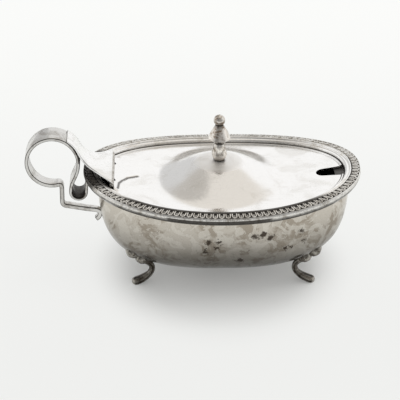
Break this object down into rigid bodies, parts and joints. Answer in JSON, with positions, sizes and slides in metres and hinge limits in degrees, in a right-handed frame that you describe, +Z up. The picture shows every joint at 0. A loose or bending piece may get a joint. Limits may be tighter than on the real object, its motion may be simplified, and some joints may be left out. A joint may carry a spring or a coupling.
{
  "type": "parmesan cheese dish",
  "caption": "Oval footed cheese dish with ornamented boat-shaped rim, hinged lid with spoon notch and finial, and a strap handle with finger ring.",
  "frame": {"origin": "centre of the bounding box in plan, at table height", "axes": "+X along the dish away from the handle, +Y to the back, +Z up; the handle side is -X"},
  "size_m": [0.1787, 0.103, 0.0885],
  "materials": {
    "tarnished_silver": "silver plate, polished long ago, cloudy with tarnish and dark spots",
    "bright_silver": "silver plate, bright and finely scratched",
    "cast_silver": "cast silver plate, dark in the recesses and bright on the high points",
    "rolled_silver": "rolled silver-plated strip, polished by handling",
    "turned_silver": "cast silver plate, dulled in the necks",
    "dark_cast_silver": "cast silver plate, darkly tarnished",
    "hinge_metal": "plated hinge tube and pin, worn grey"
  },
  "bodies": {
    "base": {"bowl": "tarnished_silver", "lid_seat": "cast_silver", "rim_border": "cast_silver", "handle_strap": "rolled_silver", "bridge_plate": "rolled_silver", "bridge_knuckle_front": "hinge_metal", "bridge_knuckle_back": "hinge_metal", "hinge_pin": "hinge_metal", "foot_front_left": "dark_cast_silver", "foot_front_right": "dark_cast_silver", "foot_back_left": "dark_cast_silver", "foot_back_right": "dark_cast_silver"},
    "lid": {"lid": "bright_silver", "lid_knuckle": "hinge_metal", "finial": "turned_silver", "finial_nut": "hinge_metal"}
  },
  "joints": [
    {"name": "lid_hinge", "type": "hinge", "parent": "base", "child": "lid", "pos_m": [-0.04325, 0, 0.0572], "axis": [0, -1, 0], "range_deg": [0, 105]}
  ]
}
